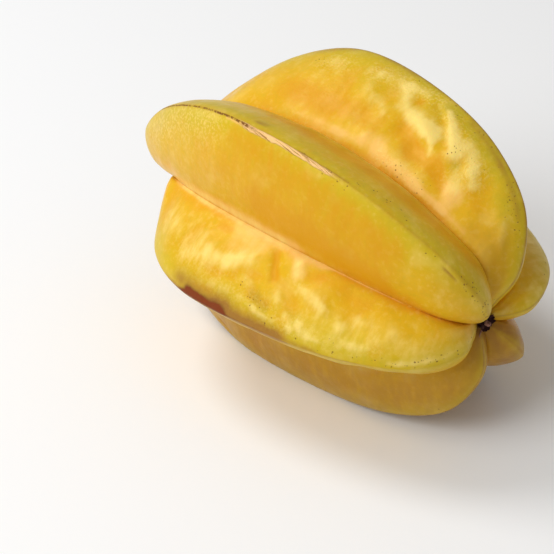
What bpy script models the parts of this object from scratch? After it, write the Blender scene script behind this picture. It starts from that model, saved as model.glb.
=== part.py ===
"""Star fruit, picked and lying on two of its six ribs. Metres, +Z up, +X towards the stem end.

The origin is on the surface that the fruit lies on, under the middle of its bounding box.
"""

from collections import namedtuple
from math import acos, atan2, copysign, cos, exp, pi, radians, sin, sqrt, tau

import bmesh
import bpy
from mathutils import Vector, noise

# Driving dimensions of the fruit
RIB_REACH = 0.0405  # from the fruit's axis to a usual rib's crest, where it is fullest
GROOVE_REACH = 0.0235  # from the axis to the bottom of a groove, where it is fullest
RIB_ROUNDING = 1.37  # power of a rib's section: 1 is a plain wedge, 2 a round lobe
STEM_ROUNDING = 0.45  # how much rounder the ribs are where they close round the stem
STEM_ROUNDING_RUN = (0.26, 0.04)  # from where to where that grows, in shares of the length
REST_FLAT_DEPTH = 0.0005  # how much of the crests that the fruit lies on is pressed flat

# The round socket that the dried stalk stands in, and the scar at the far end
SOCKET_X = 0.0428
SOCKET_RADIUS = 0.0016
SOCKET_DEPTH = 0.0022
FAR_SCAR_X = -0.0500
FAR_SCAR_RADIUS = 0.0012

# The crest line of a usual rib, from the socket to the far scar: a place along the axis, and a
# share of RIB_REACH. It runs out past the socket and the scar, which lie in pits.
CREST_LINE = (
    (SOCKET_X, SOCKET_RADIUS / RIB_REACH),
    (0.0458, 0.13),
    (0.0482, 0.30),
    (0.0431, 0.60),
    (0.0272, 0.85),
    (0.0036, 0.99),
    (-0.0214, 1.00),
    (-0.0376, 0.84),
    (-0.0486, 0.60),
    (-0.0554, 0.35),
    (-0.0566, 0.21),
    (FAR_SCAR_X, FAR_SCAR_RADIUS / RIB_REACH),
)
# The bottom of a groove, alike, in shares of GROOVE_REACH
GROOVE_LINE = (
    (SOCKET_X, SOCKET_RADIUS / GROOVE_REACH),
    (0.0432, 0.27),
    (0.0403, 0.56),
    (0.0276, 0.79),
    (0.0080, 0.96),
    (-0.0142, 1.00),
    (-0.0318, 0.88),
    (-0.0430, 0.66),
    (-0.0474, 0.40),
    (-0.0488, 0.22),
    (-0.0494, 0.12),
    (FAR_SCAR_X, FAR_SCAR_RADIUS / GROOVE_REACH),
)

# Each rib, clockwise as seen from the stem. Angles are in degrees round the axis: twist turns
# the rib from end to end, bow bends it sideways, and hook turns its far tip alone. reach is a
# share of the usual rib's, near the stem, in the middle and near the far end. shoulder and nose
# are how far the crest stands past the usual rib's at the two ends. groove is the share of the
# groove that comes after it, and pleats the share of the pleats' depth in its flanks.
Rib = namedtuple("Rib", "angle reach twist bow hook shoulder nose groove pleats")
RIBS = (
    Rib(121, (1.01, 1.05, 1.02), 0.0, 10.0, 10.0, 0.0014, 0.0045, 1.10, 0.5),
    Rib(53, (1.05, 1.15, 1.01), -5.5, 1.5, 0.0, -0.0015, -0.0020, 1.00, 1.2),
    Rib(4, (1.00, 1.01, 1.00), -1.0, -0.5, 0.0, 0.0005, 0.0, 1.02, 1.0),
    Rib(-53, (0.98, 0.99, 1.00), -4.5, 0.0, 0.0, 0.0005, 0.0, 1.00, 1.0),
    Rib(-114, (0.99, 0.82, 0.94), 1.5, -1.5, 0.0, -0.0005, 0.0, 1.00, 0.8),
    Rib(-174, (0.93, 0.90, 0.92), 1.5, 4.5, 0.0, -0.0010, -0.0100, 1.08, 1.2),
)
RESTING_RIBS = (3, 4)
BOW_LEVEL = 0.4  # the share of a rib's bow that is taken off all along, so that it bends both ways

# Runs along the fruit are in shares of its length from the stem, from where one starts to where
# it is full. A fade is the share of the length over which it runs out at the very end.
REACH_PLACES = (0.22, 0.5, 0.8)  # where the three reaches hold
REACH_SPREAD = 0.28
SHOULDER_RUN = (0.35, 0.07)
NOSE_RUN = (0.50, 0.95)
HOOK_RUN = (0.74, 0.92)
CREST_FADE = 0.06
END_SWELL = 0.0022  # how much each flank of a rib fills out towards the far end
SWELL_RUN = (0.65, 0.85)
SWELL_FADE = 0.08

# Pleats in a rib's flanks: shallow hollows that run from the crest down to the groove
PLEAT_DEPTH = 0.0009
PLEAT_PITCH = 0.0075  # along the fruit
PLEAT_RUN = 1.6  # of them between groove and crest
PLEAT_SPREAD = 0.75  # below 1 they reach nearer to the crest and the groove
PLEAT_SEED = 11.3

# The dried stalk: its foot in the socket, the ragged collar of its dried calyx, and its stump
STALK_GAP = 0.0003
COLLAR_RISE = 0.0010  # from the socket's rim to the collar
COLLAR_LOBES = 5
COLLAR_RADIUS = 0.0019
COLLAR_LOBE_REACH = 0.0008
COLLAR_LOBE_POINT = 1.5  # above 1 the lobes are pointed
COLLAR_TAPER = 0.9
COLLAR_THICKNESS = 0.0006
STUMP_RADIUS = 0.0010
STUMP_FLARE = 1.2  # at its foot
STUMP_HEIGHT = 0.0010

# Fineness of the solids
FLANK_STEPS = 6  # from a groove to a crest
SKIN_RINGS = 46
STALK_AROUND = 20

SKIN_COLOUR = (0.80, 0.50, 0.05, 1.0)
SKIN_ROUGHNESS = 0.35
STALK_COLOUR = (0.05, 0.02, 0.01, 1.0)
STALK_ROUGHNESS = 0.9


def clear_scene():
    for obj in list(bpy.data.objects):
        bpy.data.objects.remove(obj)


def make_material(name, colour, roughness):
    material = bpy.data.materials.new(name)
    material.use_nodes = True
    shader = material.node_tree.nodes["Principled BSDF"]
    shader.inputs["Base Color"].default_value = colour
    shader.inputs["Roughness"].default_value = roughness
    shader.inputs["Metallic"].default_value = 0.0
    return material


def fade_in(value, run):
    """0 where the run starts, and smoothly up to 1 where it is full."""
    start, full = run
    share = min(max((value - start) / (full - start), 0.0), 1.0)
    return share * share * (3 - 2 * share)


def smooth_line(points, count):
    """count places along a smooth curve through the points, closer together where it turns."""
    points = [Vector(point) for point in points]
    knots = [0.0]
    for start, end in zip(points, points[1:]):
        knots.append(knots[-1] + sqrt((end - start).length))
    points = [2 * points[0] - points[1], *points, 2 * points[-1] - points[-2]]
    knots = [-knots[1], *knots, 2 * knots[-1] - knots[-2]]
    slopes = [None]
    for i in range(1, len(points) - 1):
        before = (points[i] - points[i - 1]) / (knots[i] - knots[i - 1])
        after = (points[i + 1] - points[i]) / (knots[i + 1] - knots[i])
        across = (points[i + 1] - points[i - 1]) / (knots[i + 1] - knots[i - 1])
        slopes.append(before + after - across)
    line = []
    start = 1
    for step in range(count):
        place = knots[-2] * step / (count - 1)
        while start < len(slopes) - 2 and place > knots[start + 1]:
            start += 1
        width = knots[start + 1] - knots[start]
        s = (place - knots[start]) / width
        from_start = (1 + 2 * s) * points[start] + s * width * slopes[start]
        from_end = (3 - 2 * s) * points[start + 1] - (1 - s) * width * slopes[start + 1]
        line.append((1 - s) ** 2 * from_start + s**2 * from_end)
    return line


def rib_angle(rib, along):
    """The angle of a rib's middle plane at a place along the fruit: 0 at the stem, 1 at the far end."""
    from_middle = 2 * along - 1
    bent = rib.twist * from_middle / 2 + rib.bow * (from_middle**2 - BOW_LEVEL)
    return radians(rib.angle + bent + rib.hook * fade_in(along, HOOK_RUN))


def rib_reach(rib, along):
    weights = [exp(-(((along - place) / REACH_SPREAD) ** 2)) for place in REACH_PLACES]
    return sum(weight * share for weight, share in zip(weights, rib.reach)) / sum(weights)


def rib_rounding(along):
    return RIB_ROUNDING + STEM_ROUNDING * fade_in(along, STEM_ROUNDING_RUN)


def crest_shift(rib, along):
    """How far a crest stands along the axis from the usual rib's."""
    near_stem = fade_in(along, SHOULDER_RUN) * min(along / CREST_FADE, 1.0)
    near_tip = fade_in(along, NOSE_RUN) * min((1 - along) / CREST_FADE, 1.0)
    return rib.shoulder * near_stem - rib.nose * near_tip


def flank_relief(number, side, along, x, height):
    """How far a flank stands out from the plain form: its swelling at the far end, and its pleats."""
    mid_flank = 4 * height * (1 - height)
    swell = END_SWELL * mid_flank * fade_in(along, SWELL_RUN) * min((1 - along) / SWELL_FADE, 1.0)
    place = Vector((x / PLEAT_PITCH, height * PLEAT_RUN, PLEAT_SEED * (2 * number + side)))
    pleats = PLEAT_DEPTH * RIBS[number].pleats * mid_flank**PLEAT_SPREAD
    return swell + pleats * noise.noise(place)


def skin_point(crest, groove, along, step):
    """A point of the skin from its crest and groove points, at a step of the way round the fruit."""
    number, step_in_rib = divmod(step, 2 * FLANK_STEPS)
    across = step_in_rib / (2 * FLANK_STEPS)
    side = -1 if across < 0.5 else 1
    rib = RIBS[number]
    beside = RIBS[(number + side) % len(RIBS)]
    section_turn = pi * min(across, 1 - across)
    power = 2 / rib_rounding(along)
    height = sin(section_turn) ** power
    width = max(cos(section_turn), 0.0) ** power
    middle = rib_angle(rib, along)
    half_angle = ((rib_angle(beside, along) - middle + pi) % tau - pi) / 2
    groove_reach = groove.y * (rib.groove if side == 1 else beside.groove)
    crest_reach = crest.y * rib_reach(rib, along)
    x = groove.x + (crest.x + crest_shift(rib, along) - groove.x) * height
    out = groove_reach * cos(half_angle)
    out += (crest_reach - out) * height
    sideways = groove_reach * sin(half_angle) * width
    sideways += copysign(1.0, half_angle) * flank_relief(number, side, along, x, height)
    y = out * cos(middle) - sideways * sin(middle)
    z = out * sin(middle) + sideways * cos(middle)
    return Vector((x, y, z))


def face_outwards(bm):
    bmesh.ops.recalc_face_normals(bm, faces=bm.faces)
    if bm.calc_volume(signed=True) < 0:
        bmesh.ops.reverse_faces(bm, faces=bm.faces)


def ringed_mesh(around, rings, place):
    """A closed mesh on a sphere's grid. place(ring, step) puts each point: the first and the last
    ring are the poles, and step counts the points round a ring."""
    bm = bmesh.new()
    bmesh.ops.create_uvsphere(bm, u_segments=around, v_segments=rings, radius=1.0)
    for vert in bm.verts:
        ring = round(acos(min(max(vert.co.z, -1.0), 1.0)) / pi * rings)
        step = round(atan2(vert.co.y, vert.co.x) / tau * around) % around
        vert.co = place(ring, step)
    face_outwards(bm)
    return bm


def fruit_mesh():
    crest_line = smooth_line([(x, share * RIB_REACH) for x, share in CREST_LINE], SKIN_RINGS + 1)
    groove_line = smooth_line([(x, share * GROOVE_REACH) for x, share in GROOVE_LINE], SKIN_RINGS + 1)
    last_ring = SKIN_RINGS + 3

    def place(ring, step):
        if ring == 0:
            return Vector((SOCKET_X - SOCKET_DEPTH, 0.0, 0.0))
        if ring == last_ring:
            return Vector((FAR_SCAR_X, 0.0, 0.0))
        row = max(ring - 2, 0)
        point = skin_point(crest_line[row], groove_line[row], row / SKIN_RINGS, step)
        if ring == 1:
            point.x -= SOCKET_DEPTH
        return point

    return ringed_mesh(2 * FLANK_STEPS * len(RIBS), last_ring, place)


def lowest_of_rib(bm, number):
    """The height of a rib's lowest point: the lowest on its side of the axis."""
    middle = rib_angle(RIBS[number], 0.5)
    side = cos(middle)
    return min(vert.co.z for vert in bm.verts if vert.co.y * side > 0)


def press_flat(bm):
    """Cuts the crests that the fruit lies on along one level plane, and returns its height."""
    floor = max(lowest_of_rib(bm, number) for number in RESTING_RIBS) + REST_FLAT_DEPTH
    cut = bmesh.ops.bisect_plane(
        bm,
        geom=bm.verts[:] + bm.edges[:] + bm.faces[:],
        plane_co=(0, 0, floor),
        plane_no=(0, 0, -1),
        clear_outer=True,
    )
    edges = [item for item in cut["geom_cut"] if isinstance(item, bmesh.types.BMEdge)]
    bmesh.ops.edgenet_fill(bm, edges=edges)
    face_outwards(bm)
    return floor


def stalk_mesh():
    foot_radius = SOCKET_RADIUS - STALK_GAP
    foot_x = SOCKET_X - SOCKET_DEPTH + STALK_GAP
    collar_x = SOCKET_X + COLLAR_RISE
    stump_x = collar_x + COLLAR_THICKNESS
    # From the foot's end to the stump's end: place along the axis, radius, and reach of the lobes
    rows = (
        (foot_x, 0.0, 0.0),
        (foot_x, foot_radius, 0.0),
        (collar_x, foot_radius, 0.0),
        (collar_x, COLLAR_RADIUS, COLLAR_LOBE_REACH),
        (stump_x, COLLAR_TAPER * COLLAR_RADIUS, COLLAR_LOBE_REACH),
        (stump_x, STUMP_FLARE * STUMP_RADIUS, 0.0),
        (stump_x + STUMP_HEIGHT, STUMP_RADIUS, 0.0),
        (stump_x + STUMP_HEIGHT, 0.0, 0.0),
    )

    def place(ring, step):
        x, radius, lobe_reach = rows[ring]
        angle = step * tau / STALK_AROUND
        radius += lobe_reach * (0.5 + 0.5 * cos(COLLAR_LOBES * angle)) ** COLLAR_LOBE_POINT
        return Vector((x, radius * cos(angle), radius * sin(angle)))

    return ringed_mesh(STALK_AROUND, len(rows) - 1, place)


def add_piece(name, bm, shift, material):
    bmesh.ops.translate(bm, verts=bm.verts, vec=shift)
    mesh = bpy.data.meshes.new(name)
    bm.to_mesh(mesh)
    bm.free()
    mesh.materials.append(material)
    mesh.shade_smooth()
    piece = bpy.data.objects.new(name, mesh)
    bpy.context.collection.objects.link(piece)
    return piece


def main():
    clear_scene()
    fruit = fruit_mesh()
    floor = press_flat(fruit)
    low = Vector(min(vert.co[axis] for vert in fruit.verts) for axis in range(3))
    high = Vector(max(vert.co[axis] for vert in fruit.verts) for axis in range(3))
    shift = Vector((-(low.x + high.x) / 2, -(low.y + high.y) / 2, -floor))
    add_piece("fruit", fruit, shift, make_material("skin", SKIN_COLOUR, SKIN_ROUGHNESS))
    add_piece("dried_stalk", stalk_mesh(), shift, make_material("dried_stalk", STALK_COLOUR, STALK_ROUGHNESS))


main()
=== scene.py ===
"""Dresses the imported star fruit: fine skin, dried stalk, floor, light and camera.

Metres, +Z up, +X to the stem end.
"""

from collections import namedtuple
from math import acos, atan2, copysign, cos, exp, hypot, pi, radians, sin, sqrt, tau
from random import Random

import bmesh
import bpy
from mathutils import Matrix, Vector, noise


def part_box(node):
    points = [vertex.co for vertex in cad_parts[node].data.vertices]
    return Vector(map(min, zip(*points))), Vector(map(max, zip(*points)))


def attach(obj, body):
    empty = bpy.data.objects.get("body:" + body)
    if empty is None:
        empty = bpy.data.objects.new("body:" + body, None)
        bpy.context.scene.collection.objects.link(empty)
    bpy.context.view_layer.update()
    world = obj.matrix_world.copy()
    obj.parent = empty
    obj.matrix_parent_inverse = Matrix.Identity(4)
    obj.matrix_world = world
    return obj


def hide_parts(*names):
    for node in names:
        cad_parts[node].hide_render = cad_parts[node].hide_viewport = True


bl_info = {
    "name": "Star Fruit",
    "version": (1, 0, 0),
    "blender": (4, 5, 0),
    "location": "View3D > Sidebar > Star Fruit",
    "description": "Builds a ripe star fruit with its dried stalk on a pale floor",
    "category": "Object",
}

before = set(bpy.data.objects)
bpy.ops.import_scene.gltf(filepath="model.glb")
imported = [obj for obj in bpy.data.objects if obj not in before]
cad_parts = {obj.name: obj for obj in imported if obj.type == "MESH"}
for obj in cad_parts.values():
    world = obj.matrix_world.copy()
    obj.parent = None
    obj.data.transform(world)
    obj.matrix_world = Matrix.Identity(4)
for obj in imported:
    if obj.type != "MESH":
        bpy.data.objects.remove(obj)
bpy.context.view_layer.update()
FRUIT_LOW, FRUIT_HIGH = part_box("fruit")
STALK_LOW, STALK_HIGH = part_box("dried_stalk")
MM = 0.001

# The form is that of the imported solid. The lines of a usual rib's crest and of a groove's bottom run
# from the stem socket to the far scar: a place along the fruit's axis, and a share of the reach.
SOCKET_X = 0.0428
SOCKET_RADIUS = 0.0016
SOCKET_DEPTH = 0.0022
FAR_SCAR_X = -0.0500
FAR_SCAR_RADIUS = 0.0012
RIB_REACH = 0.0405
GROOVE_REACH = 0.0235
CREST_LINE = (
    (SOCKET_X, SOCKET_RADIUS / RIB_REACH),
    (0.0458, 0.13),
    (0.0482, 0.30),
    (0.0431, 0.60),
    (0.0272, 0.85),
    (0.0036, 0.99),
    (-0.0214, 1.00),
    (-0.0376, 0.84),
    (-0.0486, 0.60),
    (-0.0554, 0.35),
    (-0.0566, 0.21),
    (FAR_SCAR_X, FAR_SCAR_RADIUS / RIB_REACH),
)
GROOVE_LINE = (
    (SOCKET_X, SOCKET_RADIUS / GROOVE_REACH),
    (0.0432, 0.27),
    (0.0403, 0.56),
    (0.0276, 0.79),
    (0.0080, 0.96),
    (-0.0142, 1.00),
    (-0.0318, 0.88),
    (-0.0430, 0.66),
    (-0.0474, 0.40),
    (-0.0488, 0.22),
    (-0.0494, 0.12),
    (FAR_SCAR_X, FAR_SCAR_RADIUS / GROOVE_REACH),
)
# Each rib, clockwise as seen from the stem: angles in degrees round the axis, reach and groove in shares
# of the usual rib's, shoulder and nose how far the crest stands out past the usual one's at its ends
Rib = namedtuple("Rib", "angle reach twist bow hook shoulder nose groove pleats")
RIB_LETTERS = "ABEFDC"
RIBS = (
    Rib(121, (1.01, 1.05, 1.02), 0.0, 10.0, 10.0, 0.0014, 0.0045, 1.10, 0.5),
    Rib(53, (1.05, 1.15, 1.01), -5.5, 1.5, 0.0, -0.0015, -0.0020, 1.00, 1.2),
    Rib(4, (1.00, 1.01, 1.00), -1.0, -0.5, 0.0, 0.0005, 0.0, 1.02, 1.0),
    Rib(-53, (0.98, 0.99, 1.00), -4.5, 0.0, 0.0, 0.0005, 0.0, 1.00, 1.0),
    Rib(-114, (0.99, 0.82, 0.94), 1.5, -1.5, 0.0, -0.0005, 0.0, 1.00, 0.8),
    Rib(-174, (0.93, 0.90, 0.92), 1.5, 4.5, 0.0, -0.0010, -0.0100, 1.08, 1.2),
)
BOW_LEVEL = 0.4
STEM_ROUNDING = 0.45
STEM_ROUNDING_RUN = (0.26, 0.04)
REACH_PLACES = (0.22, 0.5, 0.8)
REACH_SPREAD = 0.28
SHOULDER_RUN = (0.35, 0.07)
NOSE_RUN = (0.50, 0.95)
HOOK_RUN = (0.74, 0.92)
CREST_FADE = 0.06
END_SWELL = 0.0022
SWELL_RUN = (0.65, 0.85)
SWELL_FADE = 0.08
PLEAT_PITCH = 0.0075
PLEAT_RUN = 1.6
PLEAT_SPREAD = 0.75
PLEAT_SEED = 11.3

# The stalk's end on the fruit's axis and its collar's reach give the axis's place in the frame
STALK_TOP_X = 0.0454
COLLAR_REACH = 0.0027
AXIS_START = Vector(
    (STALK_HIGH.x - STALK_TOP_X, STALK_HIGH.y - COLLAR_REACH, (STALK_LOW.z + STALK_HIGH.z) / 2)
)

# The fine skin: steps from a groove to a crest, rings along the fruit, and a flank's usual width
FLANK_STEPS = 25
SKIN_RINGS = 312
FLANK_WIDTH = 0.027
DIMPLE_SIZES = (0.0040, 0.0016)
DIMPLE_RUNS = (4.0, 10.0)
FINEST_DIMPLES = 0.4
FINE_SEED = 3.7

# Strokes on the skin, by kind and flank. A flank is a rib's letter with - or + for its side, and a letter
# alone is both. x is in millimetres along the axis, place the share of the way over the skin from groove to
# crest, to_x and to_place the stroke's other end, and width in millimetres how far it fades to the sides.
Stroke = namedtuple("Stroke", "x place to_x to_place width amount")
STROKES = {
    # Bulges and hollows, in millimetres of height
    "dent": {
        "B-": (
            (6, 0.53, 14.5, 0.52, 1.7, 0.60), (14.5, 0.50, 16.5, 0.42, 1.0, 0.30),
            (13, 0.75, 17, 0.66, 1.1, 0.50), (17, 0.65, 22, 0.54, 2.0, 0.55),
            (22.5, 0.67, 27.5, 0.59, 2.0, 0.45), (27.2, 0.55, 30, 0.50, 1.6, 0.40),
            (28.5, 0.47, 25.8, 0.30, 2.4, 0.60), (9, 0.71, 18, 0.53, 1.2, -0.60),
            (23.3, 0.49, 23.4, 0.49, 1.6, -0.60), (22, 0.33, 24, 0.29, 2.2, -0.70),
            (7, 0.43, 12, 0.34, 2.6, -0.90), (12, 0.34, 19, 0.35, 2.0, -0.50),
            (4.5, 0.65, 5, 0.66, 1.5, -0.35), (0, 0.20, 12, 0.17, 2.4, 0.45),
            (12, 0.17, 19, 0.16, 1.8, 0.35), (-9, 0.56, -6, 0.50, 1.4, 0.25),
            (-4, 0.47, -1, 0.44, 1.6, 0.25), (1.5, 0.62, 3.5, 0.58, 1.2, 0.30),
            (-10, 0.70, 4, 0.77, 1.8, 0.30), (-8, 0.36, 0, 0.34, 2.8, -0.40),
            (-15, 0.62, -13, 0.40, 2.6, -0.35), (-24, 0.50, -22, 0.47, 1.5, 0.25),
            (33, 0.58, 36, 0.48, 3.5, -0.50), (41, 0.60, 42.5, 0.52, 1.3, 0.35),
            (-34, 0.60, -28, 0.40, 3.0, -0.25),
        ),
        "C+": (
            (-14, 0.50, -9, 0.48, 1.8, 0.50), (-8, 0.44, -3.5, 0.37, 2.0, 0.60),
            (-14, 0.58, -5, 0.54, 1.6, -0.40), (-3, 0.46, 1, 0.44, 1.4, -0.40),
            (0.8, 0.20, 3.5, 0.40, 1.5, -0.85), (4.5, 0.42, 7, 0.46, 2.0, -0.30),
            (7, 0.13, 8.5, 0.30, 2.2, 0.60), (11, 0.41, 13, 0.42, 1.4, 0.45),
            (15.5, 0.45, 18.5, 0.50, 1.5, 0.45), (7, 0.54, 7.5, 0.58, 1.3, 0.45),
            (-3, 0.53, -1.5, 0.56, 1.3, 0.30), (-3, 0.68, 3, 0.73, 1.0, 0.25),
            (3, 0.74, 8.5, 0.78, 0.9, 0.28), (10.8, 0.66, 10.9, 0.67, 1.0, 0.30),
            (15, 0.70, 15.5, 0.76, 1.2, 0.38), (12.5, 0.77, 13.5, 0.79, 1.0, 0.28),
            (18, 0.79, 21, 0.80, 1.1, 0.28), (28, 0.74, 31, 0.75, 1.6, 0.25),
            (24, 0.57, 25, 0.60, 1.4, 0.30), (27, 0.47, 28, 0.48, 1.6, 0.20),
            (-18, 0.24, -13, 0.20, 1.8, -0.35), (-12, 0.20, -3, 0.22, 2.4, 0.30),
            (18, 0.22, 27, 0.30, 3.4, -0.35), (1, 0.60, 5, 0.64, 1.4, -0.35),
            (11, 0.54, 13, 0.60, 1.6, -0.35), (20, 0.68, 22, 0.72, 1.6, -0.25),
            (-31, 0.50, -24, 0.17, 1.3, 0.30), (-27, 0.57, -20, 0.22, 1.3, -0.30),
            (-24, 0.60, -18, 0.30, 1.0, 0.22), (43, 0.48, 45, 0.62, 1.6, -0.25),
        ),
        "A-": (
            (39, 0.92, 46, 0.80, 1.5, -0.25), (-42, 0.30, -40, 0.60, 3.0, -0.30),
            (-14, 0.97, -11, 0.94, 1.2, -0.20),
        ),
    },
    # Painted highlight in cream, on the bulges and where a flank faces the light
    "cream": {
        "B-": (
            (6, 0.53, 14, 0.53, 1.8, 1.25), (14.5, 0.50, 16.5, 0.42, 0.9, 0.70),
            (12.8, 0.76, 16.5, 0.67, 0.9, 1.00), (17, 0.65, 22, 0.54, 1.8, 1.15),
            (22.5, 0.66, 27.5, 0.60, 1.7, 0.70), (27.2, 0.56, 30, 0.50, 1.3, 0.65),
            (25.8, 0.42, 26.8, 0.37, 1.8, 0.70), (-9, 0.69, 0, 0.73, 1.6, 0.55),
            (0, 0.73, 4.5, 0.77, 1.6, 0.65), (-1, 0.67, 1.5, 0.62, 1.3, 0.50),
            (1.5, 0.62, 3.5, 0.58, 1.0, 0.50), (1.5, 0.53, 3, 0.53, 1.2, 0.40),
            (-4, 0.47, -1, 0.44, 1.6, 0.40), (-8.5, 0.54, -6.5, 0.50, 1.3, 0.40),
            (-24, 0.66, -20, 0.60, 2.0, 0.45), (41, 0.60, 42.5, 0.54, 1.2, 0.25),
            (-14, 0.70, -12, 0.66, 1.4, 0.35),
        ),
        "C+": (
            (-15, 0.50, -9, 0.47, 2.0, 0.62), (-9, 0.45, -4, 0.37, 2.2, 0.62),
            (-22, 0.58, -17, 0.50, 2.6, 0.45), (-33, 0.46, -22, 0.40, 4.5, 0.40),
            (7.5, 0.20, 8.5, 0.31, 1.6, 0.55), (11, 0.41, 13, 0.42, 1.1, 0.70),
            (15.5, 0.45, 18.5, 0.49, 1.3, 0.60), (6.5, 0.54, 7.3, 0.58, 1.1, 0.60),
            (-3.5, 0.54, -1.5, 0.54, 1.3, 0.45), (-2.5, 0.69, 3, 0.73, 0.9, 0.45),
            (3, 0.75, 8.5, 0.78, 0.8, 0.55), (10.8, 0.66, 10.9, 0.67, 0.9, 0.60),
            (15, 0.69, 15.5, 0.76, 1.1, 0.60), (12.3, 0.75, 13.3, 0.79, 0.9, 0.50),
            (18, 0.79, 21, 0.795, 1.0, 0.50), (28, 0.74, 31, 0.745, 1.4, 0.45),
            (24, 0.57, 24.5, 0.59, 1.3, 0.35), (27, 0.47, 28, 0.48, 1.5, 0.30),
            (18, 0.70, 42, 0.62, 7.0, 0.30), (-14, 0.68, -6, 0.66, 2.0, 0.30),
            (-36, 0.05, 10, 0.06, 1.4, 0.45), (38, 0.88, 45, 0.84, 1.4, 0.50),
        ),
        "A-": (
            (-52, 0.80, -46, 0.75, 4.0, 0.20), (-38, 0.90, -24, 0.86, 2.2, 0.25),
            (-34, 0.09, 0, 0.08, 1.8, 0.55),
        ),
        "E-": ((28, 0.60, 48, 0.75, 6.0, 0.40),),
    },
    # Painted highlight in peach beside the grooves
    "peach": {
        "B-": (
            (-21, 0.16, -6, 0.15, 1.2, 0.45), (-9, 0.14, 0, 0.17, 1.2, 0.55),
            (0, 0.22, 5, 0.26, 1.8, 0.55), (4, 0.17, 18, 0.15, 2.0, 0.85),
            (18, 0.14, 27, 0.15, 1.2, 0.85), (27, 0.15, 34, 0.17, 1.3, 0.60),
            (25.6, 0.32, 28.5, 0.34, 2.2, 0.85), (27, 0.24, 27.5, 0.25, 1.4, 0.55),
            (10.3, 0.50, 12.5, 0.50, 1.2, 0.40), (-16, 0.34, -6, 0.30, 2.0, 0.30),
        ),
        "C+": (
            (-40, 0.05, -8, 0.05, 1.7, 0.90), (-8, 0.05, 12, 0.06, 2.4, 0.95),
            (12, 0.03, 32, 0.03, 1.1, 0.90), (6.5, 0.12, 8.5, 0.30, 2.0, 0.80),
            (-11, 0.20, -3, 0.23, 2.6, 0.60), (-12, 0.34, -5, 0.35, 1.8, 0.45),
        ),
        "A-": (
            (-49, 0.35, -40, 0.20, 3.0, 0.50), (-20, 0.93, -13, 0.90, 0.7, 0.90),
            (-38, 0.09, 4, 0.08, 2.4, 0.90),
        ),
    },
    # Amber: painted shade in the hollows and creases, and deeper amber low on the flanks
    "amber": {
        "A-": (
            (-25, 0.45, 25, 0.35, 7.0, 0.50), (-6, 0.30, 28, 0.20, 3.5, 0.70),
            (-14, 0.76, 30, 0.64, 5.0, 0.55),
        ),
        # Painted shadow in the crease between ribs A and B
        "A+": ((-14, 0.50, 42, 0.46, 3.6, 0.80),),
        "B-": (
            (-30, 0.36, -16, 0.28, 4.0, 0.55), (7, 0.43, 12, 0.34, 2.2, 0.80),
            (12, 0.33, 20, 0.35, 1.8, 0.90), (21.5, 0.34, 24, 0.29, 1.6, 1.00),
            (-9, 0.36, 0, 0.34, 2.6, 0.65), (-26, 0.35, -10, 0.30, 2.6, 0.45),
            (4.5, 0.64, 5, 0.66, 1.0, 0.70), (19, 0.44, 20, 0.40, 1.4, 0.50),
            (31, 0.45, 33, 0.42, 2.0, 0.55),
        ),
        "C+": (
            (-17, 0.23, -14, 0.21, 1.4, 0.90), (0.8, 0.20, 3.2, 0.38, 1.1, 1.00),
            (-5, 0.47, 0, 0.45, 1.2, 0.55), (4.5, 0.40, 7, 0.42, 1.4, 0.55),
            (12, 0.28, 14, 0.24, 2.0, 0.70), (17, 0.22, 27, 0.28, 3.0, 0.50),
            (-14, 0.57, -6, 0.54, 1.3, 0.65), (-12, 0.76, 6, 0.84, 1.8, 0.50),
            (-38, 0.20, -26, 0.18, 2.6, 0.45), (0, 0.60, 5, 0.65, 1.8, 0.75),
        ),
        "F": ((-10, 0.40, 40, 0.45, 7.0, 0.60),),
    },
    # Olive towards the crests
    "olive": {
        "A+": ((-38, 0.84, -10, 0.80, 2.6, 0.60), (-5, 0.84, 35, 0.78, 2.4, 0.25)),
        "A-": ((18, 0.94, 45, 0.90, 3.2, 0.40), (-46, 0.78, -30, 0.92, 3.6, 0.35)),
        "B-": (
            (9, 0.71, 17, 0.55, 1.0, 0.55), (23.3, 0.49, 23.4, 0.49, 1.1, 0.90),
            (-26, 0.86, 6, 0.92, 3.0, 0.50), (14, 0.95, 40, 0.85, 3.0, 0.50),
            (27, 0.78, 38, 0.62, 3.5, 0.65), (12, 0.82, 22, 0.76, 1.8, 0.70),
        ),
        "C+": (
            (26, 0.86, 42, 0.86, 2.6, 0.30), (-8, 0.80, 6, 0.84, 2.6, 0.60),
            (11, 0.60, 14, 0.66, 1.6, 0.45), (20, 0.66, 24, 0.72, 1.8, 0.30),
            (1, 0.60, 5, 0.68, 1.8, 0.65),
        ),
        "F+": ((34, 0.60, 46, 0.50, 4.0, 0.70),),
    },
    # Brown: painted shade on the shaded ribs and under rib C's crest, and the brown of the stem end and of
    # the bruised edge
    "brown": {
        # Painted shade over the whole of ribs D and F
        "D": ((-45, 0.55, 48, 0.55, 13.0, 0.75),),
        "F": ((-45, 0.55, 48, 0.60, 13.0, 0.95),),
        "A-": (
            (45, 0.60, 47, 0.90, 4.5, 0.20), (-14.5, 0.96, -11, 0.92, 1.1, 0.80),
            (42.5, 0.84, 44.5, 0.83, 0.5, 0.80),
        ),
        "A+": (
            (-12.5, 0.84, -10.5, 0.82, 0.9, 0.80), (3, 0.965, 5.5, 0.97, 0.8, 0.90),
            (10, 0.97, 16, 0.95, 0.8, 0.60),
        ),
        "B-": (
            (38, 0.25, 45, 0.50, 5.0, 0.40), (19, 0.86, 31, 0.83, 1.3, 0.45),
            (31, 0.83, 41, 0.80, 1.4, 0.45), (-30, 0.86, -22, 0.92, 1.8, 0.45),
            (-12, 0.93, -2, 0.90, 1.2, 0.35),
        ),
        "C+": (
            (-20, 0.82, -6, 0.83, 2.8, 0.80), (-8, 0.90, 10, 0.92, 2.0, 1.00),
            (8, 0.94, 20, 0.97, 1.4, 0.60), (-4, 0.82, 12, 0.85, 1.8, 0.35),
            (1, 0.61, 4.5, 0.64, 1.2, 0.30),
        ),
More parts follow.
